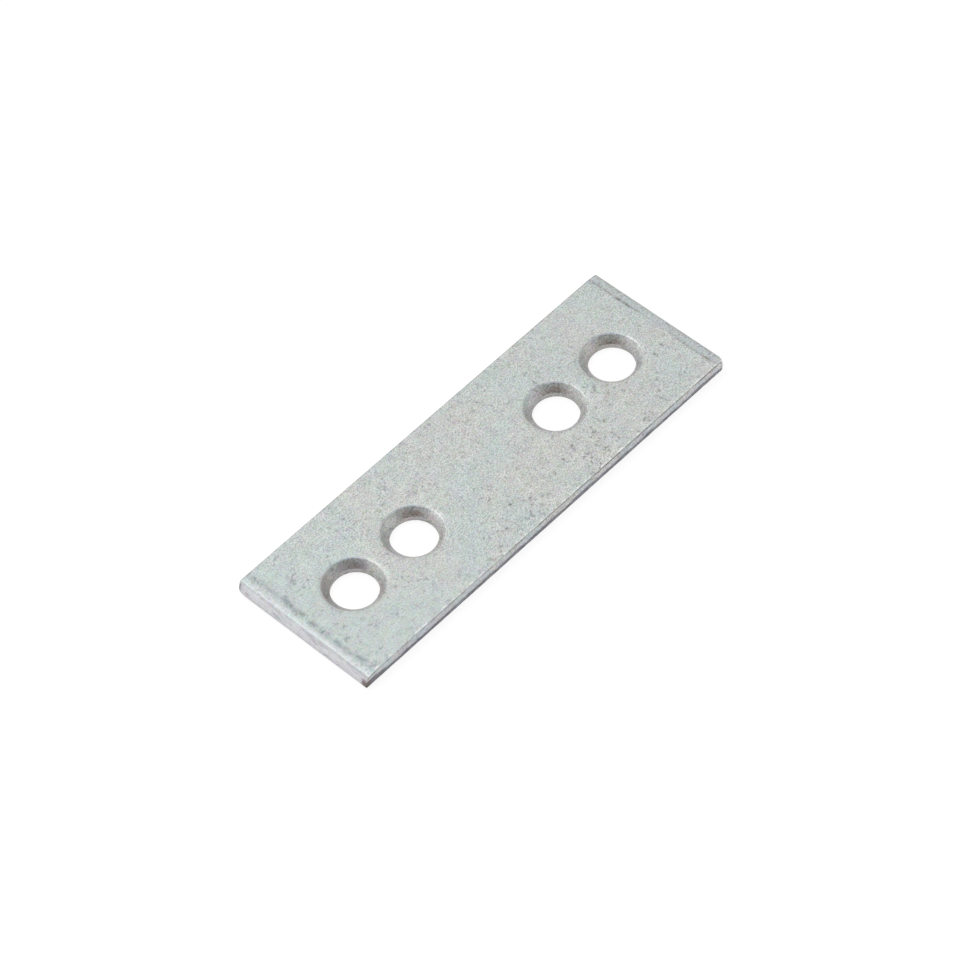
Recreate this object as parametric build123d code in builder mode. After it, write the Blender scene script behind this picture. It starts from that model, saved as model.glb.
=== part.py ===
"""Flat mending plate: a short length of mill-edged steel strip, sheared along both long
sides, with two pairs of countersunk screw holes on its centre line. One solid.

Frame: origin at the middle of the underside, +X along the length, +Z up out of the
countersunk face. Lengths in millimetres, angles in degrees.
"""

import os

from build123d import *

# --- Driving dimensions ---------------------------------------------------------------

length = 75.0  # along X, over the tips of the mill edges
width = 25.0  # along Y, over the sheared sides
thickness = 2.0

# Mill edges: the strip's own rolled edges, one at each end of the length
shoulder_run = 1.7  # along X, where the top face rolls down to the tip
shoulder_drop = 0.85  # down from the top face, where the tip starts to stand upright
heel_run = 0.15  # along X, the small rounding under the tip
heel_rise = 0.2  # up from the underside

# Sheared sides: a lip drawn down by the blade, a burnished band, an undercut fracture
lip_run = 0.15  # along Y
lip_drop = 0.1  # down from the top face
fracture_height = 0.9  # up from the underside
fracture_undercut = 0.05  # along Y, at the underside

# Dragged corners: where each shearing cut starts, the blade draws the mill edge round
drag_along_side = 0.5  # along X
drag_along_end = 2.5  # along Y

# Screw holes: two pairs on the centre line, countersunk from the top
hole_radius = 3.5
countersink_radius = 4.6
countersink_angle = 90.0  # included angle of the cone
rim_radius = 0.15  # soft upper rim of each countersink
pair_pitch = 12.0  # between the two holes of a pair
pair_distance = 41.6  # between the middles of the two pairs

half_length = length / 2
half_width = width / 2

# --- The plate ------------------------------------------------------------------------

with BuildPart() as plate:
    # Section along the length: both mill edges
    with BuildSketch(Plane.XZ):
        with BuildLine():
            heel = EllipticalCenterArc(
                (half_length - heel_run, heel_rise),
                heel_run,
                heel_rise,
                start_angle=270,
                arc_size=90,
            )
            shoulder = EllipticalCenterArc(
                (half_length - shoulder_run, thickness - shoulder_drop),
                shoulder_run,
                shoulder_drop,
                start_angle=0,
                arc_size=90,
            )
            Line((0, 0), heel @ 0)
            Line(heel @ 1, shoulder @ 0)
            Line(shoulder @ 1, (0, thickness))
            mirror(about=Plane.YZ)
        make_face()
    extrude(amount=half_width, both=True)

    # Section across the width: both sheared sides
    with BuildSketch(Plane.YZ):
        with BuildLine():
            lip = EllipticalCenterArc(
                (half_width - lip_run, thickness - lip_drop),
                lip_run,
                lip_drop,
                start_angle=0,
                arc_size=90,
            )
            fracture = Line((half_width - fracture_undercut, 0), (half_width, fracture_height))
            Line((0, 0), fracture @ 0)
            Line(fracture @ 1, lip @ 0)
            Line(lip @ 1, (0, thickness))
            mirror(about=Plane.YZ)
        make_face()
    extrude(amount=half_length, both=True, mode=Mode.INTERSECT)

    # Plan outline: two dragged corners, diagonally opposite, and two sharp ones
    with BuildSketch(Plane.XY):
        with BuildLine():
            drag_right = EllipticalCenterArc(
                (half_length - drag_along_side, drag_along_end - half_width),
                drag_along_side,
                drag_along_end,
                start_angle=270,
                arc_size=90,
            )
            drag_left = EllipticalCenterArc(
                (drag_along_side - half_length, half_width - drag_along_end),
                drag_along_side,
                drag_along_end,
                start_angle=90,
                arc_size=90,
            )
            Polyline(drag_right @ 1, (half_length, half_width), drag_left @ 0)
            Polyline(drag_left @ 1, (-half_length, -half_width), drag_right @ 0)
        make_face()
    extrude(amount=thickness, mode=Mode.INTERSECT)

    # Screw holes, with their rims softened
    with Locations((0, 0, thickness)):
        with GridLocations(pair_distance, 0, 2, 1):
            with GridLocations(pair_pitch, 0, 2, 1):
                CounterSinkHole(
                    radius=hole_radius,
                    counter_sink_radius=countersink_radius,
                    counter_sink_angle=countersink_angle,
                )
    rims = plate.edges().filter_by(GeomType.CIRCLE).group_by(Axis.Z)[-1]
    fillet(rims, radius=rim_radius)

plate.part.label = "plate"

# --- Output ---------------------------------------------------------------------------

os.makedirs("parts", exist_ok=True)
export_step(plate.part, "parts/plate.step")
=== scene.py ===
"""Looks for the mending plate: a flat zinc-plated steel plate with two pairs of screw holes.

The plate is one dense mesh that stands for the CAD node "plate". It is built in millimetres and
scaled to metres: X along the length, Y across the width, Z up out of the countersunk face, from
the middle of the underside. The strip's own rolled mill edges are at both ends of the length, and
both long sides are sheared: a drawn-down lip, a burnished band and a rough undercut fracture.
"""

from math import cos, pi, radians, sin, tan

import bpy
import numpy as np
from mathutils import Matrix, Vector
from mathutils.geometry import delaunay_2d_cdt


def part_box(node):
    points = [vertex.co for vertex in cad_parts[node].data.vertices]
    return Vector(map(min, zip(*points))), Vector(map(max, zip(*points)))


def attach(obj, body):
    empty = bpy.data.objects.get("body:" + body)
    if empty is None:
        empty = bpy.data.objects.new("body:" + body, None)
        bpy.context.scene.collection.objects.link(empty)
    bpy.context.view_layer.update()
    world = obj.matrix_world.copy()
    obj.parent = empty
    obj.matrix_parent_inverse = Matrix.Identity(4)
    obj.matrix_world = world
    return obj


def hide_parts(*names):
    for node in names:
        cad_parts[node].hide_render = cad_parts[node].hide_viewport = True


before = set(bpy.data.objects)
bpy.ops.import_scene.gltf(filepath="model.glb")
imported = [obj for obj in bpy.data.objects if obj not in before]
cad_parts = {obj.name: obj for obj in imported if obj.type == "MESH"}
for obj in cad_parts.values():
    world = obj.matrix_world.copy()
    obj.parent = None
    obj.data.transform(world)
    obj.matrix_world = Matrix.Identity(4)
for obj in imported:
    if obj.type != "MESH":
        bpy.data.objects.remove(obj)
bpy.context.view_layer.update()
scene = bpy.context.scene

MILLIMETRE = 0.001

# --- Sizes of the plate, in millimetres ---

low_corner, high_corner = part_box("plate")
HALF_LENGTH = (high_corner.x - low_corner.x) / 2 / MILLIMETRE
HALF_WIDTH = (high_corner.y - low_corner.y) / 2 / MILLIMETRE
THICKNESS = (high_corner.z - low_corner.z) / MILLIMETRE

# Mill edges at the -X and the +X end, from the top face down: (distance in from the tip, height).
# The -X end has a flat shoulder and a steep face, with a ridge between.
MILL_EDGE = {
    -1: (
        [(2.7, 2.0), (2.1, 1.996), (1.4, 1.98), (1.0, 1.96), (0.76, 1.915), (0.5, 1.7)],
        [(0.27, 1.42), (0.1, 1.05), (0.02, 0.68), (0.0, 0.4), (0.03, 0.16), (0.12, 0.04), (0.22, 0.0)],
    ),
    1: (
        [(2.1, 2.0), (1.74, 1.995), (1.2, 1.955), (0.7, 1.915), (0.4, 1.83), (0.17, 1.62)],
        [(0.05, 1.3), (0.0, 0.95), (0.0, 0.4), (0.03, 0.16), (0.12, 0.04), (0.22, 0.0)],
    ),
}
# Where the shoulder meets the top face: (places along Y, distances in from the tip)
SHOULDER_RUN = {
    -1: (
        [-12.5, -9.5, -7.0, -4.4, -2.7, 0.0, 4.0, 7.2, 12.5],
        [1.8, 2.2, 2.0, 2.05, 1.95, 2.1, 2.4, 2.4, 2.25],
    ),
    1: (
        [-12.5, -10.2, -8.2, -5.0, -2.8, 3.3, 6.5, 12.5],
        [1.7, 1.85, 1.92, 1.88, 1.7, 1.7, 1.82, 1.8],
    ),
}
SECTION_STEP = 0.01  # between the points of the section's outline
SECTION_SOFTNESS = 0.07  # how far its bends are rounded
TIP_HEIGHT = 0.5  # where its upper and its lower half meet

# Sheared sides: (run along Y, drop) of the edge round the sheared face
LIP = (0.16, 0.1)  # along the top
FOOT = (0.03, 0.02)  # along the underside
TIP = (0.06, 0.05)  # at the mill edges' tips
LIP_GROWS = (0.9, 1.6)  # heights between which the tip's edge becomes the lip
FOOT_GROWS = (0.7, 0.15)  # and the foot
LIP_ROWS = 4
FRACTURE_HEIGHT = 0.82
FRACTURE_UNDERCUT = 0.03

# Dragged corners, where each shearing cut starts: (along X, along Y) at (-X, +Y) and (+X, -Y)
DRAG = {-1: (0.4, 2.1), 1: (1.0, 1.3)}
DRAG_REACH = {-1: 0.85, 1: 2.6}  # how far along X the pull fades out

CORNER_PRESS = 0.09  # share of its height that the (-X, -Y) corner loses
CORNER_REACH = 2.8

# Screw holes
HOLE_RADIUS = 3.5
COUNTERSINK_RADIUS = 4.66
RIM_RADIUS = 0.15
RIM_START = COUNTERSINK_RADIUS + RIM_RADIUS * tan(pi / 8)  # where the rim leaves the top face
THROAT_SOFTNESS = 0.025  # where the cone meets the hole
EXIT_BREAK = 0.05  # at the underside
BREAK_SHARE = 0.7  # how wide a break is for its height
EXIT_RADIUS = HOLE_RADIUS + EXIT_BREAK * BREAK_SHARE
PAIR_PITCH = 12.0
PAIR_DISTANCE = 41.6
HOLE_CENTRES = [
    pair * PAIR_DISTANCE / 2 + one * PAIR_PITCH / 2 for pair in (-1, 1) for one in (-1, 1)
]

# Mesh spacing
COARSE_UNDER = 0.42
CAP_SPACING = 0.14
GRADING_STEPS = 20000
JITTER = 0.25  # how far a free point moves at random, as a share of its cell
# (fine, coarse, width of the fine band at an edge, distance over which it grows coarse)
OVER_SPACING = (0.15, 0.29, 2.9, 1.5)
UNDER_SPACING = (0.09, 0.29, 0.9, 1.5)
ACROSS_SPACING = (0.15, 0.29, 0.3, 1.2)
UNDER_FINE_END = 1.3
UNDER_COARSE_START = 1.5
# Rings of vertices in a hole's wall
HOLE_SIDES = 144
RIM_RINGS = 3
CONE_RINGS = 8
BORE_RINGS = 6
# Rings round each hole: (gap, turn in sides, 2 for half the sides), and where they end
OVER_RINGS = ((0.16, 0.5, 1), (0.34, 0, 1), (0.54, 0.5, 1), (0.78, 0, 1), (1.04, 0.5, 1))
OVER_CLEAR = 1.15
UNDER_RINGS = ((0.15, 0.5, 1), (0.35, 0, 2), (0.6, 0.5, 2))
UNDER_CLEAR = 0.75
# Rings round each pit, in its radii
PIT_RINGS = (0.6, 1.1, 1.6)
PIT_SIDES = 7
SHARP_ANGLE = 50.0

# The UV sheet, in millimetres of the plate: where each part of it starts
UV_UNDER = 25.6
UV_EDGES = {-1: 51.2, 1: 53.8}
UV_EDGE_ROW = 0.45
UV_HOLES = 56.4
UV_HOLE_STEP = 18.5
UV_HOLE_SHARE = 0.8  # of a hole's girth
UV_CAPS = {-1: 60.6, 1: 67.4}
UV_CAP_STRETCH = 3
UV_SHEET = 78.0
UV_GAP = 0.5

SEED = 20


# --- Noise ---


def lattice(cells, seed):
    """One repeatable random value from -1 to 1 for each row of whole numbers."""
    mixed = np.full(len(cells), (seed * 7919 + 1013) & 0xFFFFFFFF, np.uint32)
    for axis, prime in zip(cells.astype(np.uint32).T, (374761393, 668265263, 2246822519)):
        mixed = (mixed ^ (axis * np.uint32(prime))) * np.uint32(2654435761)
        mixed ^= mixed >> np.uint32(15)
    return mixed.astype(float) / 2147483647.5 - 1


def noise(points, cell, seed):
    """Smooth value noise from -1 to 1. cell is its grain in millimetres, one for each axis."""
    places = np.asarray(points, float).reshape(len(points), -1) / np.asarray(cell, float)
    base = np.floor(places).astype(np.int64)
    part = places - base
    part = part**3 * (part * (part * 6 - 15) + 10)
    total = np.zeros(len(places))
    for corner in np.ndindex(*(2,) * places.shape[1]):
        weight = np.prod(np.where(np.array(corner) == 1, part, 1 - part), axis=1)
        total += weight * lattice(base + corner, seed)
    return total


def rough(points, cell, seed, octaves=3):
    """Several grains of noise on top of each other, each half the size and half the height."""
    cell = np.asarray(cell, float)
    return sum(noise(points, cell / 2**k, seed + 31 * k) / 2**k for k in range(octaves))


def waves(points, layers):
    """The sum of layers of noise, each given as (height, grain, seed)."""
    return sum(height * noise(points, grain, seed) for height, grain, seed in layers)


def fade(low, high, value):
    """0 at low and 1 at high, with a soft start and end."""
    t = np.clip((value - low) / (high - low), 0, 1)
    return t * t * (3 - 2 * t)


def bell(value, middle, width):
    return np.exp(-(((value - middle) / width) ** 2))


def columns(*values):
    return np.stack(np.broadcast_arrays(*values), axis=-1)


def lengths_along(points):
    """The length along a line of points at each of them, from 0."""
    return np.concatenate([[0], np.cumsum(np.hypot(*np.diff(points, axis=0).T))])


def read_off(places, lengths, values):
    """Two columns of values, read at places between the lengths."""
    return columns(*(np.interp(places, lengths, values[:, k]) for k in (0, 1)))


# --- The mesh under construction ---

WEIGHTS = ("over", "under", "wall", "hole")  # how much of each relief a vertex takes


class Shell:
    """Vertices, the two directions that relief moves each one in, and triangles with their UVs."""

    def __init__(self):
        self.places = np.zeros((0, 3))
        self.skin_way = np.zeros((0, 3))
        self.wall_way = np.zeros((0, 3))
        self.weights = {name: np.zeros(0) for name in WEIGHTS}
        self.triangles = np.zeros((0, 3), int)
        self.corners = np.zeros((0, 3, 2))

    def add(self, places, skin_way, wall_way=(0.0, 0.0, 0.0), **weights):
        first = len(self.places)
        self.places = np.vstack([self.places, places])
        self.skin_way = np.vstack([self.skin_way, np.broadcast_to(skin_way, places.shape)])
        self.wall_way = np.vstack([self.wall_way, np.broadcast_to(wall_way, places.shape)])
        for name, values in self.weights.items():
            new = np.broadcast_to(weights.get(name, 0.0), (len(places),))
            self.weights[name] = np.concatenate([values, new])
        return np.arange(first, len(self.places))

    def cover(self, triangles, corners, flip):
        """Adds triangles of vertex numbers, with a UV for each corner."""
        order = [0, 2, 1] if flip else [0, 1, 2]
        self.triangles = np.vstack([self.triangles, triangles[:, order]])
        self.corners = np.vstack([self.corners, corners[:, order]])

    def bridge(self, rows, heights, left, width, flip):
        """Joins closed rows of the same length. The rest places them on the UV sheet."""
        u = np.linspace(left, left + width, len(rows[0]) + 1)
        for k in range(len(rows) - 1):
            a, b = rows[k], np.roll(rows[k], -1)
            d, c = rows[k + 1], np.roll(rows[k + 1], -1)
            p, q = columns(u[:-1], heights[k]), columns(u[1:], heights[k])
            s, r = columns(u[:-1], heights[k + 1]), columns(u[1:], heights[k + 1])
            self.cover(np.c_[a, b, c], np.stack([p, q, r], axis=1), flip)
            self.cover(np.c_[a, c, d], np.stack([p, r, s], axis=1), flip)


def graded(low, high, fine, coarse, band, reach):
    """Stations from low to high: fine in a band at both ends, growing coarse over a reach."""
    line = np.linspace(low, high, GRADING_STEPS + 1)
    middle = (line[1:] + line[:-1]) / 2
    near = np.minimum(middle - low, high - middle)
    spacing = fine + (coarse - fine) * fade(band, band + reach, near)
    steps = np.concatenate([[0], np.cumsum(np.diff(line) / spacing)])
    count = max(2, int(round(steps[-1])))
    return np.interp(np.linspace(0, steps[-1], count + 1), steps, line)


def triangulated(flat, loops):
    """Delaunay triangles over flat points, inside the first loop and outside the others."""
    edges = [(int(a), int(b)) for loop in loops for a, b in zip(loop, np.roll(loop, -1))]
    result = delaunay_2d_cdt([Vector(p) for p in flat.tolist()], edges, [], 1, 1e-7)
    source = np.array([numbers[0] for numbers in result[3]])
    made = source[np.array(result[2])]
    hole_of = np.zeros(len(flat), int)
    for number, loop in enumerate(loops[1:], start=1):
        hole_of[loop] = number
    first, second, third = hole_of[made].T
    made = made[(first == 0) | (first != second) | (first != third)]
    a, b, c = (flat[made[:, k]] for k in range(3))
    turn = (b[:, 0] - a[:, 0]) * (c[:, 1] - a[:, 1]) - (b[:, 1] - a[:, 1]) * (c[:, 0] - a[:, 0])
    made[turn < 0] = made[turn < 0][:, ::-1]
    return made


def far_from(points, centres, reaches):
    """Which points lie further from every centre than its reach."""
    keep = np.ones(len(points), bool)
    for centre, reach in zip(centres, reaches):
        keep &= np.hypot(*(points - centre).T) > reach
    return keep


def circle(centre, radius, sides, turn=0.0):
    angle = 2 * pi * (np.arange(sides) + turn) / sides
    return np.asarray(centre) + radius * columns(np.cos(angle), np.sin(angle))


# --- The strip's section, seen along Y ---


def softened(knots):
    """The knots joined by straight lines, with the bends between them made round."""
    knots = np.array(knots)
    lengths = lengths_along(knots)
    count = int(lengths[-1] / SECTION_STEP)
    stations = np.linspace(0, lengths[-1], count)
    points = read_off(stations, lengths, knots)
    for _ in range(2):
        reach = int(SECTION_SOFTNESS / SECTION_STEP)
        before = 2 * points[0] - points[reach:0:-1]
        after = 2 * points[-1] - points[-2 : -reach - 2 : -1]
        padded = np.vstack([before, points, after])
        sums = np.cumsum(np.vstack([[0, 0], padded]), axis=0)
        span = 2 * reach + 1
        points = (sums[span:] - sums[:-span]) / span
    return points


def section_end(side):
    """The upper and lower outline at one end of the section, each out to the tip's middle."""
    upper_knots, lower_knots = MILL_EDGE[side]
    outline = softened([*upper_knots, *lower_knots])
    outline[:, 0] = HALF_LENGTH - outline[:, 0]
    middle = np.argmin(np.abs(outline[:, 1] - TIP_HEIGHT))
    upper, lower = outline[: middle + 1], outline[: middle - 1 : -1]
    return upper * (side, 1.0), lower * (side, 1.0)


class Outline:
    """Half of the section, read by its length from the -X tip. turn 1 or -1 is its outer side."""

    def __init__(self, left, right, turn):
        self.points = np.vstack([left[::-1], right])
        self.lengths = lengths_along(self.points)
        self.total = self.lengths[-1]
        self.flat_start = self.lengths[len(left) - 1] - left[0, 0]
        tangent = np.gradient(self.points, self.lengths, axis=0)
        self.outward = turn * columns(-tangent[:, 1], tangent[:, 0])

    def at(self, s):
        return read_off(s, self.lengths, self.points)

    def normal(self, s):
        found = read_off(s, self.lengths, self.outward)
        found = found / np.linalg.norm(found, axis=-1, keepdims=True)
        return columns(found[..., 0], 0.0, found[..., 1])

    def length_to(self, x):
        """The length at which the flat stretch reaches x."""
        return self.flat_start + x


left_upper, left_lower = section_end(-1)
right_upper, right_lower = section_end(1)
OVER = Outline(left_upper, right_upper, 1)
UNDER = Outline(left_lower, right_lower, -1)


def wall_reach(z):
    """How far from the middle the sheared side stands at a height, before its relief."""
    return HALF_WIDTH - FRACTURE_UNDERCUT * np.clip(1 - z / FRACTURE_HEIGHT, 0, 1)


def edge_size(outline, s):
    """(run, drop) of the edge between a skin and the sheared side."""
    z = outline.at(s)[..., 1]
    full, share = (LIP, fade(*LIP_GROWS, z))
    if outline is UNDER:
        full, share = (FOOT, fade(*FOOT_GROWS, z))
    return tuple(tip + (size - tip) * share for tip, size in zip(TIP, full))


def skin_reach(outline, s):
    """How far from the middle a skin goes at a station."""
    return wall_reach(outline.at(s)[..., 1]) - edge_size(outline, s)[0]


def middle_reach(outline):
    return skin_reach(outline, outline.total / 2)


# --- Parts of the shell ---


def edge_rows(shell, stations, side, top):
    """Rows round the edge from the skins to the sheared side. Returns the first and the last."""
    parts = [(OVER, stations[OVER]), (UNDER, stations[UNDER][-2:0:-1])]
    middle = np.vstack([outline.at(s) for outline, s in parts])
    normal = np.vstack([outline.normal(s) for outline, s in parts])
    run, drop = np.hstack([edge_size(outline, s) for outline, s in parts])
    upper = np.concatenate([np.full(len(s), float(outline is OVER)) for outline, s in parts])
    rows = []
    for k in range(LIP_ROWS + 1):
        share = k / LIP_ROWS
        sunk = drop * (1 - cos(pi / 2 * share))
        reach = wall_reach(middle[:, 1]) - run * (1 - sin(pi / 2 * share))
        places = columns(middle[:, 0] - normal[:, 0] * sunk, side * reach, 0.0)
        places[:, 2] = middle[:, 1] - normal[:, 2] * sunk
        weights = {"over": upper * (1 - share), "under": (1 - upper) * (1 - share)}
        rows.append(shell.add(places, normal, (0, side, 0), wall=share, **weights))
    heights = top + UV_EDGE_ROW * np.arange(LIP_ROWS + 1)
    shell.bridge(rows, heights, 0.0, OVER.total, flip=side < 0)
    return rows[0], rows[-1]


def tip_rows(shell, shares):
    """The row of vertices across each tip, less its two ends, which are on the edge rows."""
    rows = []
    for s in (0.0, OVER.total):
        x, z = OVER.at(s)
        places = columns(x, shares[1:-1] * skin_reach(OVER, s), z)
        rows.append(shell.add(places, OVER.normal(s), over=0.5, under=0.5))
    return rows


def skin_boundary(outline, stations, edges, tips, shares):
    """The closed loop round a skin: vertex numbers and flat places."""
    half = middle_reach(outline)
    s = stations[outline]
    last = len(stations[OVER]) - 1
    sides = {}
    for side, row in edges.items():
        lower = np.concatenate([row[:1], row[:last:-1], row[last : last + 1]])
        sides[side] = row[: last + 1] if outline is OVER else lower
    numbers = np.concatenate([sides[-1], tips[1], sides[1][::-1], tips[0][::-1]])
    inner = shares[1:-1] * half
    flat = [columns(s, -half), columns(outline.total, inner)]
    flat += [columns(s[::-1], half), columns(0.0, inner[::-1])]
    return numbers, np.vstack(flat)


def skin(shell, outline, boundary, rings, fill, top):
    """Triangles of one skin. boundary and rings are (vertex numbers, flat places)."""
    half = middle_reach(outline)
    x, z = outline.at(fill[:, 0]).T
    places = columns(x, fill[:, 1] / half * skin_reach(outline, fill[:, 0]), z)
    weight = {"over" if outline is OVER else "under": 1.0}
    inner = shell.add(places, outline.normal(fill[:, 0]), **weight)
    loops = [boundary, *rings]
    numbers = np.concatenate([*(loop[0] for loop in loops), inner])
    flat = np.vstack([*(loop[1] for loop in loops), fill])
    ends = np.cumsum([0] + [len(loop[0]) for loop in loops])
    found = triangulated(flat, [np.arange(a, b) for a, b in zip(ends[:-1], ends[1:])])
    shell.cover(numbers[found], (flat + (0, top + half))[found], flip=outline is UNDER)


def hole_profile():
    """(radius, height) down a hole's wall, ring by ring."""
    turns = [pi / 4 * k / RIM_RINGS for k in range(RIM_RINGS + 1)]
    rows = [(RIM_START - RIM_RADIUS * sin(a), THICKNESS - RIM_RADIUS * (1 - cos(a))) for a in turns]
    cone_top = rows[-1][0]
    cone_low = HOLE_RADIUS + THROAT_SOFTNESS * BREAK_SHARE
    for k in range(1, CONE_RINGS + 1):
        radius = cone_top + (cone_low - cone_top) * k / CONE_RINGS
        rows.append((radius, THICKNESS - COUNTERSINK_RADIUS + radius))
    throat = THICKNESS - COUNTERSINK_RADIUS + HOLE_RADIUS - THROAT_SOFTNESS
    for k in range(BORE_RINGS + 1):
        rows.append((HOLE_RADIUS, throat + (EXIT_BREAK - throat) * k / BORE_RINGS))
    rows.append((EXIT_RADIUS, 0.0))
    return np.array(rows)


def hole(shell, x, left, top):
    """One hole's wall. Returns the vertex numbers of its top and bottom rings."""
    profile = hole_profile()
    around = circle((0, 0), 1.0, HOLE_SIDES)
    outward = columns(around[:, 0], around[:, 1], 0.0)
    last = len(profile) - 1
    rings = []
    for k, (radius, z) in enumerate(profile):
        places = outward * radius + (x, 0, z)
        way = (0, 0, -1) if k == last else (0, 0, 1)
        weights = {"over": max(0.0, 1 - k / (RIM_RINGS + 1)), "under": float(k == last), "hole": 1.0}
        rings.append(shell.add(places, way, outward, **weights))
    width = 2 * pi * HOLE_RADIUS * UV_HOLE_SHARE
    shell.bridge(rings, top + lengths_along(profile), left, width, flip=False)
    return rings[0], rings[-1]


CAP_START = 0.05  # above the underside
CAP_ROW = 0.87  # between rows, as a share of the spacing along them


def cap(shell, row, side, top, rng):
    """The sheared face inside the last edge row, filled with a jittered grid."""
    flat = shell.places[row][:, [0, 2]]
    x = np.arange(flat[:, 0].min(), flat[:, 0].max(), CAP_SPACING)
    z = np.arange(CAP_START, THICKNESS - LIP[1], CAP_SPACING * CAP_ROW)
    grid = np.stack(np.meshgrid(x, z, indexing="ij"), axis=-1)
    grid[:, ::2, 0] += CAP_SPACING / 2
    grid = grid.reshape(-1, 2)
    grid = grid + rng.uniform(-JITTER, JITTER, grid.shape) * CAP_SPACING
    grid = grid[inside_by(grid, flat, CAP_SPACING / 2)]
    places = columns(grid[:, 0], side * wall_reach(grid[:, 1]), grid[:, 1])
    inner = shell.add(places, (0, 0, 0), (0, side, 0), wall=1.0)
    numbers = np.concatenate([row, inner])
    flat = np.vstack([flat, grid])
    found = triangulated(flat, [np.arange(len(row))[::-1]])
    sheet = flat * (1, UV_CAP_STRETCH) + (HALF_LENGTH, top)
    shell.cover(numbers[found], sheet[found], flip=side > 0)


def inside_by(points, loop, margin):
    """Which points lie inside a convex clockwise loop by at least a margin."""
    keep = np.ones(len(points), bool)
    for a, b in zip(loop, np.roll(loop, -1, axis=0)):
        along = (b - a) / np.hypot(*(b - a))
        depth = along[1] * (points[:, 0] - a[0]) - along[0] * (points[:, 1] - a[1])
        keep &= depth > margin
    return keep


def grid_fill(s, y, rng):
    """A grid over stations, less its outer rows, with each point moved a little at random."""
    ds, dy = np.gradient(s), np.gradient(y)
    grid = np.stack(np.meshgrid(s, y, indexing="ij"), axis=-1)
    cell = np.stack(np.meshgrid(ds, dy, indexing="ij"), axis=-1)
    moved = grid + rng.uniform(-JITTER, JITTER, grid.shape) * cell
    return moved[1:-1, 1:-1].reshape(-1, 2)


PIT_COUNT = 100
PIT_DEPTH = 0.1  # share of its radius
PIT_SPREAD = 1.3  # how fast a pit's slope rises
# The marks that stand out: (x, y, radius, darkness)
MARKS = (
    (35.8, 6.6, 0.3, 0.6), (31.4, -4.2, 0.26, 0.8), (31.5, -4.7, 0.12, 0.8), (33.4, -3.7, 0.25, 0.5),
    (34.9, -2.9, 0.15, 0.6), (33.7, -4.9, 0.2, 0.45), (29.0, -6.8, 0.18, 0.6), (26.7, -9.4, 0.15, 0.6),
    (21.3, -11.1, 0.25, 0.6), (21.7, -11.8, 0.18, 0.75), (19.2, -11.9, 0.16, 0.7), (18.4, -10.1, 0.16, 0.5),
    (16.5, -10.6, 0.22, 0.75), (16.3, -7.6, 0.16, 0.5), (15.4, -9.0, 0.15, 0.6), (13.4, -9.0, 0.3, 0.55),
    (14.0, -8.7, 0.2, 0.5), (11.1, -6.5, 0.25, 0.9), (11.3, -10.1, 0.2, 0.75), (8.5, -7.2, 0.25, 0.85),
    (5.4, -6.0, 0.15, 0.6), (5.0, -7.8, 0.2, 0.45), (-0.4, -9.3, 0.24, 0.6), (-2.4, -7.0, 0.27, 1.0),
    (-5.8, -9.5, 0.25, 0.8), (-5.7, -6.9, 0.16, 0.5), (-9.2, -8.2, 0.2, 0.6), (-9.3, -11.6, 0.22, 0.6),
    (-23.3, -4.6, 0.32, 0.45), (-30.5, 5.4, 0.17, 0.85), (-30.9, 7.5, 0.15, 0.6),
)
# A hairline scratch, by the places along it
SCRATCH = (
    (-4.3, -9.7), (-4.4, -10.1), (-4.35, -10.5), (-4.4, -10.9), (-4.5, -11.3), (-4.45, -11.7),
)
SCRATCH_PIT = (0.12, 0.01, 0.75)  # (radius, depth, darkness) of each point of it
# Where scattered pits lie: (x range, y range), and how far they keep from a hole
PIT_FIELD = ((3 - HALF_LENGTH, HALF_LENGTH - 2.6), (0.9 - HALF_WIDTH, HALF_WIDTH - 0.9))
PIT_CLEAR = COUNTERSINK_RADIUS + 0.9


def scattered_pits(rng):
    """Pits in the top face: (x, y, radius, depth, darkness), thickest in the +X half."""
    pits = [(x, y, radius, PIT_DEPTH * radius, dark) for x, y, radius, dark in MARKS]
    pits += [(x, y, *SCRATCH_PIT) for x, y in SCRATCH]
    while len(pits) < PIT_COUNT:
        x, y = (rng.uniform(*reach) for reach in PIT_FIELD)
        size, dark, chance = rng.uniform(0, 1, 3)
        radius = 0.07 + 0.1 * size**2
        clear = all(np.hypot(x - centre, y) > PIT_CLEAR for centre in HOLE_CENTRES)
        apart = all(np.hypot(x - p[0], y - p[1]) > 1.7 * (radius + p[2]) + 0.1 for p in pits)
        crowd = 0.15 + 0.5 * fade(-8, 20, x) + 1.5 * bell(x, 6, 8) * bell(y, -7.2, 3)
        if clear and apart and chance * 2 < crowd:
            pits.append((x, y, radius, PIT_DEPTH * radius, 0.2 + 0.45 * dark**2))
    return np.array(pits)


def ringed(fill, outline, start, clear, rings):
    """The points that are clear of the holes, with rings of points round each hole."""
    centres = [np.array((outline.length_to(x), 0.0)) for x in HOLE_CENTRES]
    parts = [fill[far_from(fill, centres, [start + clear] * len(centres))]]
    for centre in centres:
        for gap, turn, part in rings:
            parts.append(circle(centre, start + gap, HOLE_SIDES // part, turn))
    return np.vstack(parts)


def over_fill(stations, shares, pits, rng):
    """Free points of the top skin: grid, rings round the holes and clusters at the pits."""
    fill = grid_fill(stations[OVER], shares * middle_reach(OVER), rng)
    fill = ringed(fill, OVER, RIM_START, OVER_CLEAR, OVER_RINGS)
    places = pits[:, :2] + (OVER.length_to(0.0), 0)
    fill = fill[far_from(fill, places, pits[:, 2] * PIT_RINGS[-1] + 0.1)]
    clusters = [places]
    for place, radius in zip(places, pits[:, 2]):
        clusters += [circle(place, radius * k, PIT_SIDES, k) for k in PIT_RINGS]
    return np.vstack([fill, *clusters])


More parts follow.
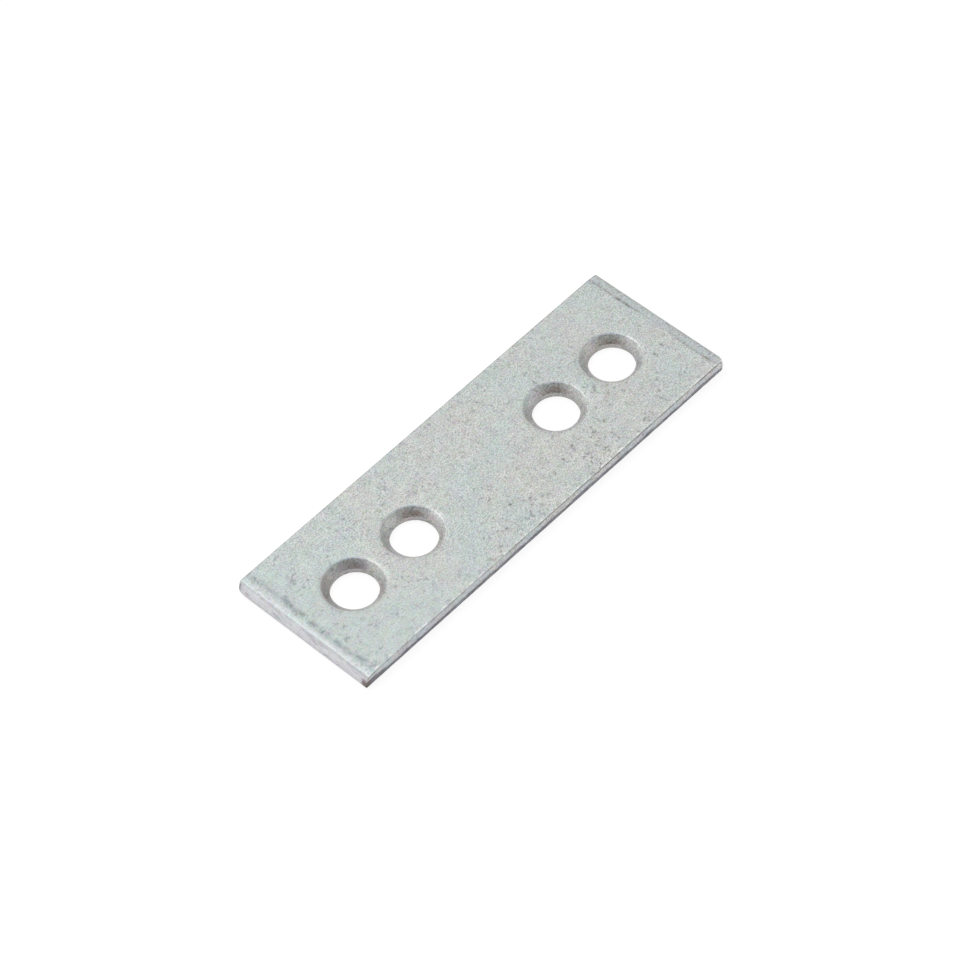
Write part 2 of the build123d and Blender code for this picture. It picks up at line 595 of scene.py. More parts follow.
def under_fill(stations, shares, rng):
    """Free points of the underside: fine near the tips, coarse between, rings at the holes."""
    half = middle_reach(UNDER)
    fine = grid_fill(stations[UNDER], shares * half, rng)
    near_tip = np.minimum(fine[:, 0], UNDER.total - fine[:, 0]) < UNDER_FINE_END
    start, count = UNDER_COARSE_START, int(UNDER.total / COARSE_UNDER)
    coarse_s = np.linspace(start, UNDER.total - start, count)
    coarse_y = np.linspace(-half, half, int(2 * half / COARSE_UNDER))
    fill = np.vstack([fine[near_tip], grid_fill(coarse_s, coarse_y, rng)])
    return ringed(fill, UNDER, EXIT_RADIUS, UNDER_CLEAR, UNDER_RINGS)


def make_shell(pits, rng):
    """The whole plate at its nominal shape."""
    shell = Shell()
    stations = {OVER: graded(0.0, OVER.total, *OVER_SPACING)}
    stations[UNDER] = graded(0.0, UNDER.total, *UNDER_SPACING)
    half = middle_reach(OVER)
    shares = graded(-half, half, *ACROSS_SPACING) / half
    ends = {side: edge_rows(shell, stations, side, UV_EDGES[side]) for side in (-1, 1)}
    edges = {side: rows[0] for side, rows in ends.items()}
    tips = tip_rows(shell, shares)
    holes = [hole(shell, x, UV_HOLE_STEP * k, UV_HOLES) for k, x in enumerate(HOLE_CENTRES)]
    fills = {OVER: over_fill(stations, shares, pits, rng)}
    fills[UNDER] = under_fill(stations, shares, rng)
    for outline, which, top in ((OVER, 0, 0.0), (UNDER, 1, UV_UNDER)):
        rings = []
        for one in holes:
            plan = shell.places[one[which]][:, :2]
            rings.append((one[which], plan + (outline.length_to(0.0), 0)))
        boundary = skin_boundary(outline, stations, edges, tips, shares)
        skin(shell, outline, boundary, rings, fills[outline], top)
    for side in (-1, 1):
        cap(shell, ends[side][1], side, UV_CAPS[side], rng)
    return shell


# --- Relief, in millimetres ---

FACE_SINK = 0.008  # leaves room for what stands proud of the top face
FACE_WAVES = ((0.006, 1.5, 1), (0.003, 0.6, 2))  # (height, grain, seed)
ROLLED_SINK = 0.012  # the same for the mill edges
ROLLED_GRAIN = (0.35, 5.0, 0.35)  # drawn out across the width
UNDER_SINK = 0.006
UNDER_WAVES = ((0.004, 1.8, 5), (0.002, 0.7, 6))
# Round a countersink: (depth at its rim, distance over which it fades)
RIM_DROOP = (0.045, 0.16)
RIM_DISH = (0.04, 0.6)

# How clearly the line where a shoulder starts shows: (places along Y, strengths)
SHOULDER_MARKS = {
    -1: (
        [-12.5, -11.0, -9.6, -8.5, -7.6, -6.6, -4.4, -2.6, -0.4, 1.8, 3.6, 5.4, 7.2, 9.4, 11.6, 12.5],
        [0.3, 0.45, 0.8, 0.8, 0.5, 0.6, 0.5, 0.6, 0.75, 0.75, 1.0, 0.65, 0.95, 0.65, 0.95, 1.0],
    ),
    1: (
        [-12.5, -10.9, -10.2, -9.2, -8.3, -7.4, -3.6, -2.6, -1.0, 2.7, 3.3, 6.8, 7.6, 12.5],
        [0.4, 0.45, 0.8, 0.5, 0.8, 0.5, 0.6, 0.3, 0.15, 0.2, 1.0, 1.1, 0.5, 0.45],
    ),
}
MARK_WIDTH = {-1: 0.42, 1: 0.17}
MARK_DEPTH = {-1: 0.018, 1: 0.03}
LINE_WANDER = {-1: 1.0, 1: 0.35}

FRACTURE_CLIMB = 0.62  # near the -X end of the -Y side
CLIMB_PLACES = (-32.5, -36.5)
NO_GRAIN = 9.0  # along Y, in which the sheared sides don't vary

BURNISH_SINK = 0.008
TORN_RELIEF = (0.014, 0.022, 0.03)  # (how far it sinks, its coarse grain, its fine grain)


def nearest_hole(x, y):
    """(its number, the direction from its centre, how far outside its rim a place is)"""
    away = np.array([np.hypot(x - centre, y) for centre in HOLE_CENTRES])
    number = np.argmin(away, axis=0)
    way = np.arctan2(y, x - np.array(HOLE_CENTRES)[number])
    return number, way, np.min(away, axis=0) - RIM_START


def shoulder_line(x, y, side):
    """(distance from the line where a shoulder starts, how strongly it is marked there)."""
    inward = side * (HALF_LENGTH - np.interp(y, *SHOULDER_RUN[side]))
    wander = waves(y, ((0.12, 1.7, 41 + side), (0.07, 0.6, 45)))
    marked = np.interp(y, *SHOULDER_MARKS[side])
    broken = 0.8 + 0.5 * noise(y, 0.7, 51 + side)
    away = (x - inward) * side + wander * LINE_WANDER[side]
    return away, np.clip(marked * broken, 0, 1)


def pit_shape(x, y, pits):
    """(depth, darkness) of the pits at each place."""
    depth, dark = np.zeros(len(x)), np.zeros(len(x))
    for px, py, radius, deep, black in pits:
        near = np.exp(-PIT_SPREAD * ((x - px) ** 2 + (y - py) ** 2) / radius**2)
        depth = np.maximum(depth, deep * near)
        dark = np.maximum(dark, black * near)
    return depth, dark


def over_relief(places, normals, pits):
    x, y, z = places.T
    flat = fade(0.9, 1.0, normals[:, 2])
    height = waves(places, FACE_WAVES)
    outside = np.maximum(nearest_hole(x, y)[2], 0)
    sunk = sum(depth * np.exp(-outside / reach) for depth, reach in (RIM_DROOP, RIM_DISH))
    height -= flat * (sunk + pit_shape(x, y, pits)[0])
    for side in (-1, 1):
        away, marked = shoulder_line(x, y, side)
        height -= MARK_DEPTH[side] * marked * bell(away, 0, MARK_WIDTH[side])
    rolled = 0.012 * rough(places, ROLLED_GRAIN, 3, 2) + 0.014 * noise(places, 0.9, 4)
    return height - FACE_SINK + (1 - flat) * (rolled - ROLLED_SINK)


def fracture_line(x, side):
    """The height at which the burnished band gives way to the fracture."""
    wave = 0.13 * noise(x, 2.6, 61 + side) + 0.07 * rough(x, 0.7, 65 + side)
    raised = FRACTURE_CLIMB * fade(*CLIMB_PLACES, x) if side < 0 else 0.0
    return FRACTURE_HEIGHT + wave + raised


def wall_relief(places):
    x, y, z = places.T
    side = np.sign(y)
    depth = np.zeros(len(x))
    sunk, coarse_share, fine_share = TORN_RELIEF
    for way in (-1, 1):
        torn = 1 - fade(-0.05, 0.05, z - fracture_line(x, way))
        grain = rough(places, (0.55, NO_GRAIN, 0.3), 71 + way, 3)
        coarse = rough(places, (2.0, NO_GRAIN, 0.6), 75 + way, 2)
        scored = 0.006 * noise(places, (0.16, NO_GRAIN, 1.5), 79 + way)
        rugged = sunk + coarse_share * coarse + fine_share * grain
        share = np.where(side == way, 1.0, 0.0)
        depth += share * (torn * rugged + (1 - torn) * (BURNISH_SINK + scored))
    return -np.maximum(depth, 0)


def hole_relief(places):
    """How far the wall of a hole lies outside its nominal radius."""
    x, y, z = places.T
    number, way, _ = nearest_hole(x, y)
    around = columns(np.cos(way) * HOLE_RADIUS, np.sin(way) * HOLE_RADIUS, number * 50.0)
    round_error = 0.03 * noise(around, 2.4, 81)
    chatter = 0.008 * noise(around + columns(0, 0, z), (0.35, 0.35, 1.2), 83)
    turned = 0.006 * noise(columns(z, number * 9.0), (0.12, 1.0), 85)
    return round_error + (chatter + turned) * fade(THICKNESS - 0.02, THICKNESS - 0.15, z)


def drag(places):
    """The corners: two drawn in where a shearing cut starts, and one pressed down at its end."""
    x, y, z = places.T
    pull = np.zeros(len(x))
    for end, (along_side, along_end) in DRAG.items():
        share = np.clip((-end * y - HALF_WIDTH + along_end) / along_end, 0, 1)
        near_tip = fade(HALF_LENGTH - DRAG_REACH[end], HALF_LENGTH, end * x)
        pull -= end * along_side * (1 - np.sqrt(1 - share**2)) * near_tip
    from_corner = np.hypot(x + HALF_LENGTH, y + HALF_WIDTH)
    return columns(pull, 0.0, -CORNER_PRESS * z * fade(CORNER_REACH, 0.0, from_corner))


def relieved(shell, pits):
    """The vertices' final places."""
    places = shell.places
    skins = {"over": over_relief(places, shell.skin_way, pits)}
    skins["under"] = waves(places, UNDER_WAVES) - UNDER_SINK
    skin_height = sum(shell.weights[name] * height for name, height in skins.items())
    wall_height = shell.weights["wall"] * wall_relief(places)
    wall_height += shell.weights["hole"] * hole_relief(places)
    moved = places + shell.skin_way * skin_height[:, None] + shell.wall_way * wall_height[:, None]
    moved += drag(moved)
    return np.clip(moved, (-HALF_LENGTH, -HALF_WIDTH, 0), (HALF_LENGTH, HALF_WIDTH, THICKNESS))


# --- Zones, which the material tells apart ---

# Sides of each countersink that differ, by painted shade, a bluish line or a painted glint: (direction in
# degrees, how narrow)
BROWN_SHADE_SIDE = (40.0, 7)
BLUISH_LINE_SIDE = (52.0, 4)
CONE_SHADE_SIDE = (135.0, 1.5)
SHADED_SIDE = (155.0, 2.5)
GLINTING_SIDE = (2.0, 6)

# How far a shade reaches outside a rim
RIM_WIDTH = 0.05
BLUISH_LINE_WIDTH = 0.02

# Zones in from a tip: where each edge is absent and where it is full
FOLD = ((0.4, 0.68), (1.05, 0.8))
PALE_SHOULDER = ((0.85, 1.05), (1.7, 1.4))
# next: where the painted shade close to the +X tip is absent and where it is full
RIGHT_EDGE_SHADE_REACH = (0.9, 0.5)
UPRIGHT = (0.3, 0.5)  # the share of X in a tip's normal


def facing(direction, side):
    """1 on one side of a hole, fading round it."""
    middle, narrowness = side
    return np.exp(narrowness * (np.cos(direction - radians(middle)) - 1))


def side_zones(shell):
    """Along the sheared sides."""
    x, y, z = shell.places.T
    wall, over = shell.weights["wall"], shell.weights["over"]
    line = np.where(y > 0, fracture_line(x, 1), fracture_line(x, -1))
    torn = 1 - fade(-0.04, 0.04, z - line)
    towards_right = fade(-25, 15, x)
    shaded = 0.5 + 0.4 * towards_right + 0.35 * rough(x, 1.1, 59)
    glints = rough(x, 0.4, 63, 2) + 0.35 * towards_right - 0.1
    return {
        "fracture": wall * torn,
        "burnish": wall * (1 - torn),
        # lip: painted shade along the rounded top edge of each sheared side, more of it towards +X
        "lip": np.clip(4 * wall * (1 - wall) * ((z > 1.5) * shaded), 0, 1),
        "glint": over * bell(y + HALF_WIDTH, 0.31, 0.1) * fade(0.25, 0.8, glints),
    }


def tip_zones(shell):
    """At the upright tips of both ends, and painted shade low down."""
    x, y, z = shell.places.T
    skin = 1 - shell.weights["wall"]
    upright = np.abs(shell.skin_way[:, 0])
    patchy = np.clip(0.7 + 0.5 * rough(y, 1.6, 67, 2), 0, 1)
    return {
        "tip": fade(*UPRIGHT, upright) * skin,
        "tip_low": fade(1.0, 0.5, z) * skin * (upright > UPRIGHT[0]),
        # painted shade on every skin below about 0.4 mm, patchy along Y: the foot of each tip, the
        # underside and the bottom of the holes
        "heel_shade": fade(0.42, 0.2, z) * skin * patchy,
    }


def end_zones(shell):
    """On the shoulders of the ends, and at two corners of the -X end."""
    places, over = shell.places, shell.weights["over"]
    x, y, z = places.T
    ragged = 0.06 * rough(y, 0.8, 57, 3)
    from_left, from_right = HALF_LENGTH + x, HALF_LENGTH - x
    off_left, marked_left = shoulder_line(x, y, -1)
    off_right, marked_right = shoulder_line(x, y, 1)
    worn = np.clip(0.76 + 0.6 * rough(places, 0.4, 55, 2), 0, 1.2)
    fold = fade(*FOLD[0], from_left + 2 * ragged) * fade(*FOLD[1], from_left)
    pale_shoulder = fade(*PALE_SHOULDER[0], from_left)
    pale_shoulder = over * pale_shoulder * fade(*PALE_SHOULDER[1], from_left + 1.6 * ragged)
    near_corner = fade(1.15, 0.6, np.hypot(x + HALF_LENGTH, y + HALF_WIDTH))
    return {
        "fold": over * fold,
        # a paler, patchy band on the -X shoulder
        "pale_shoulder": pale_shoulder * np.clip(0.75 + 0.6 * rough(places, 0.9, 65, 2), 0, 1.2),
        "nose": fade(11.85, 12.25, y) * fade(-36.6, -36.9, x) * fade(1.9, 1.5, z),
        "smudge": 0.9 * near_corner * fade(1.6, 1.1, z),
        "streak": over * worn * marked_left * bell(off_left, 0, MARK_WIDTH[-1]),
        # painted shadow of the small step along the +X shoulder line
        "step_shadow": over * marked_right * bell(off_right, 0, MARK_WIDTH[1]),
        # painted shade over the +X shoulder beyond its line, and more of it close to the +X tip, where the
        # end turns away from the light
        "right_shoulder_shade": over * fade(-0.1, 0.1, off_right),
        "right_edge_shade": over * fade(*RIGHT_EDGE_SHADE_REACH, from_right + 2 * ragged),
    }


def hole_zones(shell):
    """In the holes and on their rims."""
    x, y, z = shell.places.T
    wall, over = shell.weights["hole"], shell.weights["over"]
    number, way, gap = nearest_hole(x, y)
    on_rim = np.minimum(1, wall + over * (gap < RIM_WIDTH)) * fade(1.86, 1.96, z)
    by_rim = np.minimum(1, wall + over * (gap < BLUISH_LINE_WIDTH)) * bell(z, 1.98, 0.1)
    around = columns(way * HOLE_RADIUS, z, number * 9.0)
    blotched = np.clip(0.95 + 0.7 * rough(around, (1.3, 1.8, 1.0), 91, 3), 0, 1.4)
    cone_shade = facing(way, CONE_SHADE_SIDE)
    return {
        "cone": wall * fade(THICKNESS - 0.01, THICKNESS - 0.06, z),
        # throat: painted shade in a band deep in each hole, where the cone meets the straight part
        "throat": wall * bell(z, 1.15, 0.4),
        # painted shade down the lower part of each hole
        "bore_shade": wall * fade(0.88, 0.76, z),
        "turned": np.clip(0.5 + 0.55 * rough(around, (0.5, 2.5, 1.0), 87, 2), 0, 1),
        # painted shade, brown and blotchy, low on one side of every countersink
        "brown_cone_shade": wall * bell(z, 1.05, 0.35) * facing(way, BROWN_SHADE_SIDE) * blotched,
        # painted shade on one side of every countersink
        "cone_shade": wall * cone_shade,
        # the first hole stained dark brown, most of all on its side with painted shade
        "first_hole_stain_and_shade": wall * (number == 0) * (0.06 + 0.55 * cone_shade),
        # a dark bluish line round one side of every rim
        "bluish_rim_line": by_rim * facing(way, BLUISH_LINE_SIDE),
        "rim_shade": on_rim * facing(way, SHADED_SIDE),
        "rim_glint": on_rim * facing(way, GLINTING_SIDE),
    }


def zones(shell, pits):
    """Every zone's strength at every vertex, where 1 is full."""
    x, y, _ = shell.places.T
    found = {"pit": shell.weights["over"] * pit_shape(x, y, pits)[1]}
    for part in (side_zones, tip_zones, end_zones, hole_zones):
        found.update(part(shell))
    return found


def build_plate(material):
    """The mending_plate object."""
    rng = np.random.default_rng(SEED)
    pits = scattered_pits(rng)
    shell = make_shell(pits, rng)
    mesh = bpy.data.meshes.new("mending_plate")
    places = relieved(shell, pits) * MILLIMETRE
    mesh.from_pydata(places.tolist(), [], shell.triangles.tolist())
    for name, values in zones(shell, pits).items():
        layer = mesh.attributes.new(name, "FLOAT", "POINT")
        layer.data.foreach_set("value", values.astype(np.float32))
    uv = mesh.uv_layers.new(name="OFBake")
    sheet = (shell.corners + UV_GAP) / UV_SHEET
    uv.data.foreach_set("uv", sheet.reshape(-1).astype(np.float32))
    mesh.shade_smooth()
    mesh.set_sharp_from_angle(angle=radians(SHARP_ANGLE))
    mesh.materials.append(material)
    mesh.update()
    return placed("mending_plate", mesh)


# --- Materials ---


class Graph:
    """Short ways to add shader nodes. A value is a number, a colour or another node's output."""

    def __init__(self, owner):
        owner.use_nodes = True
        self.tree = owner.node_tree
        self.tree.nodes.clear()

    def node(self, kind, inputs=None, **settings):
        made = self.tree.nodes.new("ShaderNode" + kind)
        for name, value in settings.items():
            setattr(made, name, value)
        for name, value in (inputs or {}).items():
            if isinstance(value, bpy.types.NodeSocket):
                self.tree.links.new(value, made.inputs[name])
            else:
                made.inputs[name].default_value = value
        return made

    def math(self, operation, a, b=0.0, c=0.0, clamp=False):
        inputs = {0: a, 1: b, 2: c}
        return self.node("Math", inputs, operation=operation, use_clamp=clamp).outputs[0]

    def eased(self, level, share, middle=1.0):
        """1 plus a share of how far a level is from its middle."""
        return self.math("MULTIPLY_ADD", self.math("SUBTRACT", level, middle), share, 1.0)

    def even(self, level):
        """A grey of a varying level."""
        return self.node("CombineColor", {0: level, 1: level, 2: level}).outputs[0]

    def vector(self, operation, a, b):
        return self.node("VectorMath", {0: a, 1: b}, operation=operation).outputs[0]

    def ramp(self, value, low, high, to_low=0.0, to_high=1.0):
        inputs = dict(enumerate((value, low, high, to_low, to_high)))
        return self.node("MapRange", inputs, interpolation_type="SMOOTHSTEP").outputs[0]

    def mix(self, share, a, b, blend="MIX"):
        inputs = {0: share, 6: a, 7: b}
        return self.node("Mix", inputs, data_type="RGBA", blend_type=blend).outputs[2]

    def grain(self, where, scale, detail, roughness, stretch=None, output="Fac"):
        place = self.vector("MULTIPLY", where, stretch) if stretch else where
        inputs = {"Vector": place, "Scale": scale, "Detail": detail, "Roughness": roughness}
        return self.node("TexNoise", inputs).outputs[output]

    def mask(self, name):
        return self.node("Attribute", attribute_name=name).outputs["Fac"]

    def painted(self, colour, *names):
        """The colour with the zones of these names painted over it, one after another."""
        for name in names:
            colour = self.mix(self.mask(name), colour, (*ZONE_COLOURS[name], 1))
        return colour

    def finish(self, kind, shader):
        end = self.node(kind)
        self.tree.links.new(shader, end.inputs["Surface"])


def grey(level):
    return (level, level, level, 1)


ZINC = (0.575, 0.608, 0.593, 1)
ZINC_COOL = (0.54, 0.605, 0.595, 1)
ZINC_WARM = (0.60, 0.595, 0.575, 1)
TIP_LINE = (0.50, 0.49, 0.52, 1)
BURNISH = (0.60, 0.645, 0.675, 1)
BURNISH_WARM = (0.655, 0.64, 0.64, 1)
FRACTURE = (0.235, 0.23, 0.26, 1)
FRACTURE_PALE = (0.33, 0.33, 0.365, 1)
CONE = (0.73, 0.75, 0.735, 1)
CONE_DULL = (0.54, 0.56, 0.545, 1)
ZONE_COLOURS = {
    "tip": (0.715, 0.72, 0.74),
    "tip_low": (0.685, 0.68, 0.71),
    # painted shade low down
    "heel_shade": (0.43, 0.42, 0.47),
    "nose": (0.28, 0.26, 0.265),
    "fold": (0.56, 0.585, 0.605),
    "pale_shoulder": (0.61, 0.64, 0.655),
    # painted shade on the +X shoulder
    "right_shoulder_shade": (0.545, 0.58, 0.585),
    "right_edge_shade": (0.51, 0.55, 0.53),
    # painted shade in the holes, with the first hole stained dark brown among it
    "cone_shade": (0.46, 0.475, 0.46),
    "throat": (0.545, 0.54, 0.54),
    "first_hole_stain_and_shade": (0.33, 0.305, 0.29),
    "brown_cone_shade": (0.49, 0.42, 0.385),
    "bore_shade": (0.50, 0.485, 0.475),
    "bluish_rim_line": (0.42, 0.47, 0.525),
    "rim_shade": (0.36, 0.36, 0.355),
    "rim_glint": (0.755, 0.775, 0.765),
    # painted shadow of the step on the +X shoulder
    "streak": (0.24, 0.275, 0.30),
    "step_shadow": (0.22, 0.21, 0.18),
    # painted shade on the lips
    "lip": (0.20, 0.195, 0.175),
    "smudge": (0.20, 0.17, 0.15),
    "pit": (0.16, 0.15, 0.135),
    "glint": (0.88, 0.89, 0.87),
}

# Noise, as (grains for each millimetre, detail, roughness, stretch)
FINE_GRAIN = (4.6, 1.0, 0.6)
SPECK_GRAIN = (1.7, 1.0, 0.6)
MOTTLE_GRAIN = (0.5, 4.0, 0.9)
CLUMP_GRAIN = (0.4, 2.0, 0.6)
BROAD_GRAIN = (0.12, 2.0, 0.5)
TORN_GRAIN = (0.9, 2.0, 0.6)
DRAWN_GRAIN = (2.6, 2.0, 0.6, (1, 0.12, 1))
BURNISH_GRAIN = (0.3, 2.0, 0.6, (1, 0.1, 0.1))

# Ramps, as (from, to, value at from, value at to), or from 0 to 1
COOL_END = (-16.0, -34.0, 0.0, 0.65)  # along X
FINE_LEVEL = (0.25, 0.75, 0.74, 1.25)
FINE_DARKS = (0.2, 0.38, 0.84, 1.0)
CRISPNESS = (-38.0, -12.0, 0.58, 1.0)  # away from the (-X, -Y) corner
CLUMPING = (0.4, 0.62, 0.3, 1.6)
SPECKS = (0.46, 0.28)
SPECK_DEPTH = (0.0, 35.0, -0.17, -0.28)  # towards the (+X, -Y) corner
MOTTLING = (0.0, 35.0, 0.54, 0.74)  # the same
FADING = (18.0, 28.0, 1.0, 0.58)  # along X, for the specks and the mottling
TIP_CALM = (0.0, 1.0, 1.0, 0.5)
ROUGHNESS = (0.3, 0.7, 0.4, 0.52)
TINTS = ((0.14, 1.5), (0.06, 0.35))  # (share, grains for each millimetre)
BUMP_STRENGTH = 0.25
BUMP_DISTANCE = 0.00003


def grain_level(g, where, fine, calm):
    """The speckle, faintest towards (-X, -Y), times mottling and specks, most at (+X, -Y)."""
    mottle = g.grain(where, *MOTTLE_GRAIN)
    clumps = g.ramp(g.grain(where, *CLUMP_GRAIN), *CLUMPING)
    specks = g.ramp(g.grain(where, *SPECK_GRAIN), *SPECKS)
    along, across, _ = g.node("SeparateXYZ", {0: where}).outputs
    corner_way = g.math("MULTIPLY_ADD", across, -2.0, along)
    fading = g.ramp(along, *FADING)
    mottled = g.eased(mottle, g.math("MULTIPLY", g.ramp(corner_way, *MOTTLING), fading), 0.5)
    depth = g.math("MULTIPLY", g.ramp(corner_way, *SPECK_DEPTH), fading)
    speckled = g.math("MULTIPLY", g.math("MULTIPLY", specks, clumps), depth)
    level = g.math("MULTIPLY", g.ramp(fine, *FINE_LEVEL), g.ramp(fine, *FINE_DARKS))
    level = g.eased(level, g.ramp(g.math("MULTIPLY_ADD", across, 0.8, along), *CRISPNESS))
    level = g.math("MULTIPLY", level, mottled)
    level = g.math("MULTIPLY", level, g.math("ADD", speckled, 1.0))
    return g.eased(level, g.ramp(calm, *TIP_CALM))


def grained(g, where, colour, fine):
    """The colour with its speckle, mottling, specks and tints."""
    level = grain_level(g, where, fine, g.mask("tip"))
    colour = g.mix(1.0, colour, g.even(level), "MULTIPLY")
    for share, size in TINTS:
        tints = g.grain(where, size, 1.0, 0.5, output="Color")
        colour = g.mix(share, colour, tints, "OVERLAY")
    return colour


def plain_zinc(g, where):
    """The colour of the plating, which drifts slowly and is cooler at the -X end."""
    broad = g.grain(where, *BROAD_GRAIN)
    colour = g.mix(g.ramp(broad, 0.3, 0.7), ZINC_COOL, ZINC_WARM)
    colour = g.mix(0.5, colour, ZINC)
    along = g.node("SeparateXYZ", {0: where}).outputs[0]
    return g.mix(g.ramp(along, *COOL_END), colour, ZINC_COOL)


def end_colour(g, where, colour):
    """The ends, with lines drawn across their tips, painted shade low down and painted shade over the +X
    shoulder.
    """
    colour = g.painted(colour, "tip", "tip_low", "heel_shade", "nose")
    drawn = g.grain(where, *DRAWN_GRAIN)
    drawn = g.math("MULTIPLY", g.ramp(drawn, 0.46, 0.3), g.mask("tip"))
    colour = g.mix(drawn, colour, TIP_LINE)
    return g.painted(colour, "fold", "pale_shoulder", "right_shoulder_shade", "right_edge_shade")


def worked_colour(g, where, colour):
    """What the work left: burnished and torn sides, turned holes and a dark line along the -X shoulder.
    Added to it: painted shade in the holes, on the rims and along the lips, a bluish line and a painted
    glint on the rims, and a painted shadow along the +X shoulder line.
    """
    lengthwise = g.grain(where, *BURNISH_GRAIN)
    burnish = g.mix(g.ramp(lengthwise, 0.4, 0.6), BURNISH, BURNISH_WARM)
    colour = g.mix(g.mask("burnish"), colour, burnish)
    cone = g.mix(g.mask("turned"), CONE, CONE_DULL)
    # painted shade in the holes, with the first hole stained dark brown among it
    cone = g.painted(cone, "cone_shade", "throat", "first_hole_stain_and_shade", "brown_cone_shade", "bore_shade")
    colour = g.mix(g.mask("cone"), colour, cone)
    colour = g.painted(colour, "bluish_rim_line", "rim_shade", "rim_glint", "streak", "step_shadow")
    blotch = g.grain(where, *TORN_GRAIN)
    torn = g.mix(g.ramp(blotch, 0.35, 0.65), FRACTURE, FRACTURE_PALE)
    colour = g.mix(g.mask("fracture"), colour, torn)
    return g.painted(colour, "lip", "smudge")


def zinc_material():
    """Zinc-plated steel: a fine matt grain, faint tints, pits, the parts the work left bare, and painted
    shade and glints.
    """
    material = bpy.data.materials.new("zinc_plated_steel")
    g = Graph(material)
    place = g.node("TexCoord").outputs["Object"]
    where = g.vector("MULTIPLY", place, (1000, 1000, 1000))  # millimetres
    fine = g.grain(where, *FINE_GRAIN)
    colour = end_colour(g, where, plain_zinc(g, where))
    colour = grained(g, where, worked_colour(g, where, colour), fine)
    colour = g.painted(colour, "pit", "glint")

    relief = {"Strength": BUMP_STRENGTH, "Distance": BUMP_DISTANCE, "Height": fine}
    inputs = {"Base Color": colour, "Metallic": 1.0, "Roughness": g.ramp(fine, *ROUGHNESS)}
    inputs["Normal"] = g.node("Bump", relief).outputs[0]
    g.finish("OutputMaterial", g.node("BsdfPrincipled", inputs).outputs[0])
    return material


# --- Stage ---


def placed(name, data):
    """A new object in the scene."""
    made = bpy.data.objects.new(name, data)
    scene.collection.objects.link(made)
    return made


FLOOR_SIZE = 3.0
FLOOR_GAP = 0.00002
FLOOR_COLOUR = 0.8
SHOWN_GLOW = 0.84  # of the white that the camera sees, with the shadow in the rest
SHOWN_DIFFUSE = 0.22
SHOWN_IN_METAL = 0.6  # how much of that white shows in reflections, over the plain floor


def floor_material():
    """A pale floor. The camera sees it white with the shadow, and so, in part, do reflections."""
    material = bpy.data.materials.new("studio_floor")
    g = Graph(material)
    path = g.node("LightPath").outputs
    looks = g.math("ADD", path["Is Camera Ray"], path["Is Transmission Ray"])
    looks = g.math("MULTIPLY_ADD", path["Is Glossy Ray"], SHOWN_IN_METAL, looks, clamp=True)
    plain = g.node("BsdfDiffuse", {"Color": grey(FLOOR_COLOUR)}).outputs[0]
    shaded = g.node("BsdfDiffuse", {"Color": grey(SHOWN_DIFFUSE)}).outputs[0]
    glow = g.node("Emission", {"Color": grey(1.0), "Strength": SHOWN_GLOW}).outputs[0]
    shown = g.node("AddShader", {0: shaded, 1: glow}).outputs[0]
    both = g.node("MixShader", {0: looks, 1: plain, 2: shown}).outputs[0]
    g.finish("OutputMaterial", both)
    material.cycles.emission_sampling = "NONE"
    return material


def build_floor():
    mesh = bpy.data.meshes.new("studio_floor")
    half = FLOOR_SIZE / 2
    square = [(-half, -half), (half, -half), (half, half), (-half, half)]
    mesh.from_pydata([(x, y, -FLOOR_GAP) for x, y in square], [], [(0, 1, 2, 3)])
    mesh.materials.append(floor_material())
    placed("studio_floor", mesh)


STUDIO_LEVEL = 1.01
STUDIO_DARKEST = 0.05
STUDIO_WHITE = (4, 16)  # degrees up to which it is white, and from which it isn't
# Where it is dimmer: (azimuth, elevation, half width in degrees, added brightness)
STUDIO_LOBES = (
    (229, 38, 60, -0.8),  # the darker side behind the camera
    (15, 14, 48, -0.22),  # a little dimmer to the right
)


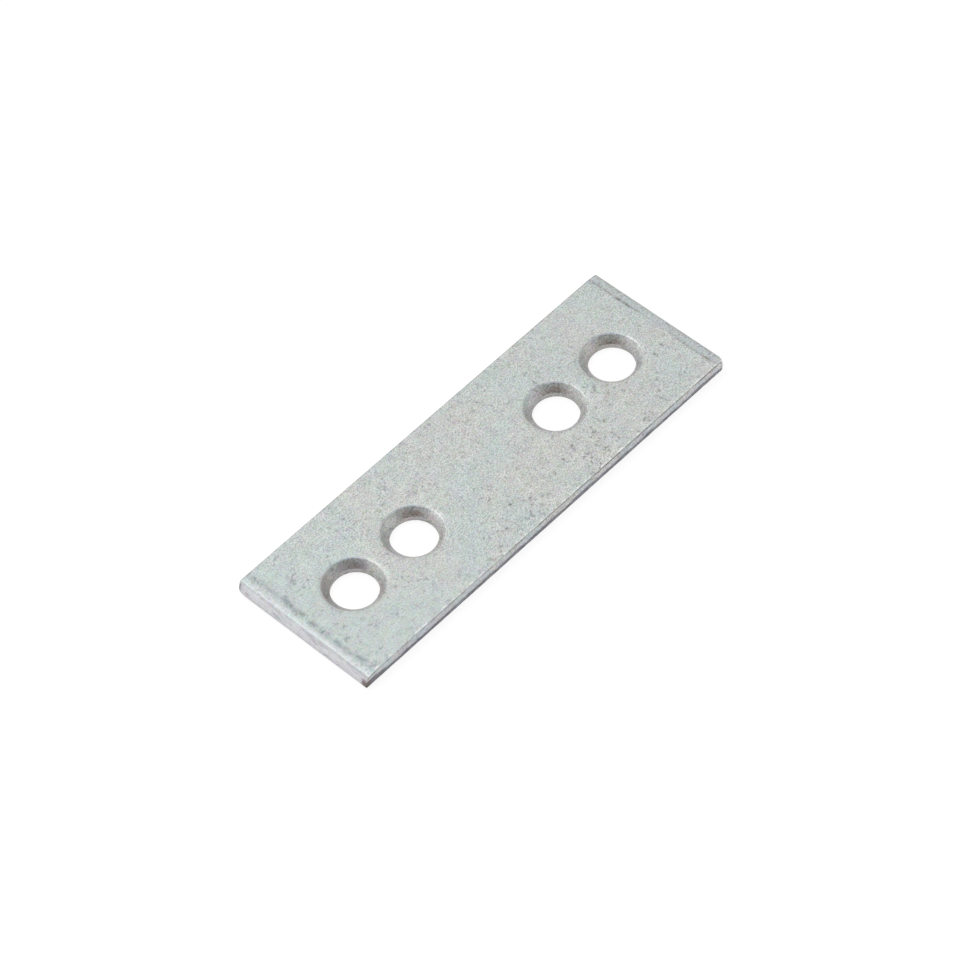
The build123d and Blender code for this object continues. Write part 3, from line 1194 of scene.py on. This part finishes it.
def build_world():
    """Soft studio light: white near the horizon, with broad darker parts above."""
    world = bpy.data.worlds.new("studio")
    scene.world = world
    g = Graph(world)
    way = g.node("TexCoord").outputs["Generated"]
    height = g.node("SeparateXYZ", {0: way}).outputs[2]
    level = STUDIO_LEVEL
    for azimuth, elevation, width, added in STUDIO_LOBES:
        a, e = radians(azimuth), radians(elevation)
        axis = (cos(a) * cos(e), sin(a) * cos(e), sin(e))
        near = g.node("VectorMath", {0: way, 1: axis}, operation="DOT_PRODUCT")
        share = g.ramp(near.outputs["Value"], cos(radians(width)), 1.0, 0.0, added)
        level = g.math("ADD", level, share)
    level = g.math("MAXIMUM", level, STUDIO_DARKEST)
    raised = g.ramp(height, *(sin(radians(angle)) for angle in STUDIO_WHITE))
    white = g.math("SUBTRACT", 1.0, raised)
    level = g.math("ADD", g.math("MULTIPLY", level, raised), white)
    background = g.node("Background", {"Color": grey(1.0), "Strength": level})
    g.finish("OutputWorld", background.outputs[0])


LAMP_SIZE = 0.6
LAMP_POWER = 0.86
LAMP_PLACE = (-0.15, 0.36, 0.75)


def build_lamp():
    """One soft box overhead, for the shadow on the floor."""
    lamp = bpy.data.lights.new("soft_box", "AREA")
    lamp.shape = "DISK"
    lamp.size = LAMP_SIZE
    lamp.energy = LAMP_POWER
    holder = placed("soft_box", lamp)
    holder.location = LAMP_PLACE
    way = Vector((0, 0, 0)) - holder.location
    holder.rotation_mode = "QUATERNION"
    holder.rotation_quaternion = way.to_track_quat("-Z", "Y")


# --- Camera, fitted to the photograph's outline and holes ---

AZIMUTH = -43.43
ELEVATION = 52.149
ROLL = -4.562
DISTANCE = 0.56
AIM_RIGHT = 0.000881
AIM_UP = 0.000394
LENS = 147.928
SENSOR = 36.0


def build_camera():
    a, e, r = radians(AZIMUTH), radians(ELEVATION), radians(ROLL)
    back = Vector((sin(a) * cos(e), -cos(a) * cos(e), sin(e)))
    level = Vector((cos(a), sin(a), 0))
    high = back.cross(level)
    right = level * cos(r) + high * sin(r)
    up = high * cos(r) - level * sin(r)
    camera = bpy.data.cameras.new("camera")
    camera.lens = LENS
    camera.sensor_width = SENSOR
    camera.clip_start = 0.01
    camera.clip_end = 50.0
    holder = placed("camera", camera)
    holder.matrix_world = Matrix.Translation(back * DISTANCE - right * AIM_RIGHT - up * AIM_UP) @ (
        Matrix((right, up, back)).transposed().to_4x4()
    )
    scene.camera = holder


# --- The scene ---

plate = build_plate(zinc_material())
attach(plate, "root")
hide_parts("plate")
build_floor()
build_world()
build_lamp()
build_camera()
scene.view_settings.view_transform = "Standard"

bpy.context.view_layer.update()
